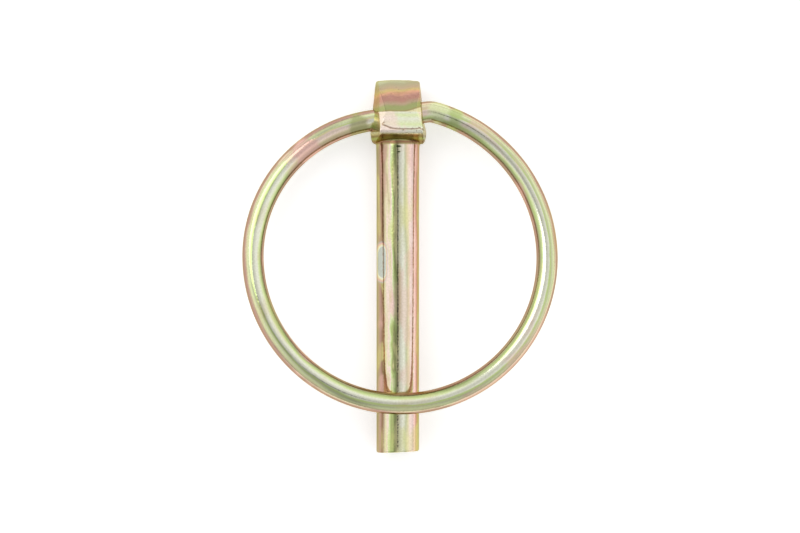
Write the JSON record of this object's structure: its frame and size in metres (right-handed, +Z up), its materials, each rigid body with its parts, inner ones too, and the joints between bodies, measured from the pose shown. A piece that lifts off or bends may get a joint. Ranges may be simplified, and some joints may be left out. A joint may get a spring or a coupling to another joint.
{
  "type": "linch pin",
  "caption": "Linch pin: a forged round pin with a drafted head and a sprung wire ring that flips over its end to lock it in a cross hole.",
  "frame": {"origin": "on the surface the pin lies on, straight below the middle of the ring's hinge", "axes": "+X to the right across the head, +Y from the pin's tip towards its head, +Z up, out of the side the closed ring lies on"},
  "size_m": [0.0443, 0.0524, 0.0094],
  "materials": {
    "pin": "forged steel, iridescent yellow zinc plate",
    "ring": "spring wire, iridescent yellow zinc plate"
  },
  "bodies": {
    "pin": {"pin": "pin"},
    "ring": {"ring": "ring"}
  },
  "joints": [
    {"name": "ring_hinge", "type": "hinge", "parent": "pin", "child": "ring", "pos_m": [0, 0, 0.0032], "axis": [-0.9877, -0.1564, 0], "range_deg": [0, 173]}
  ]
}
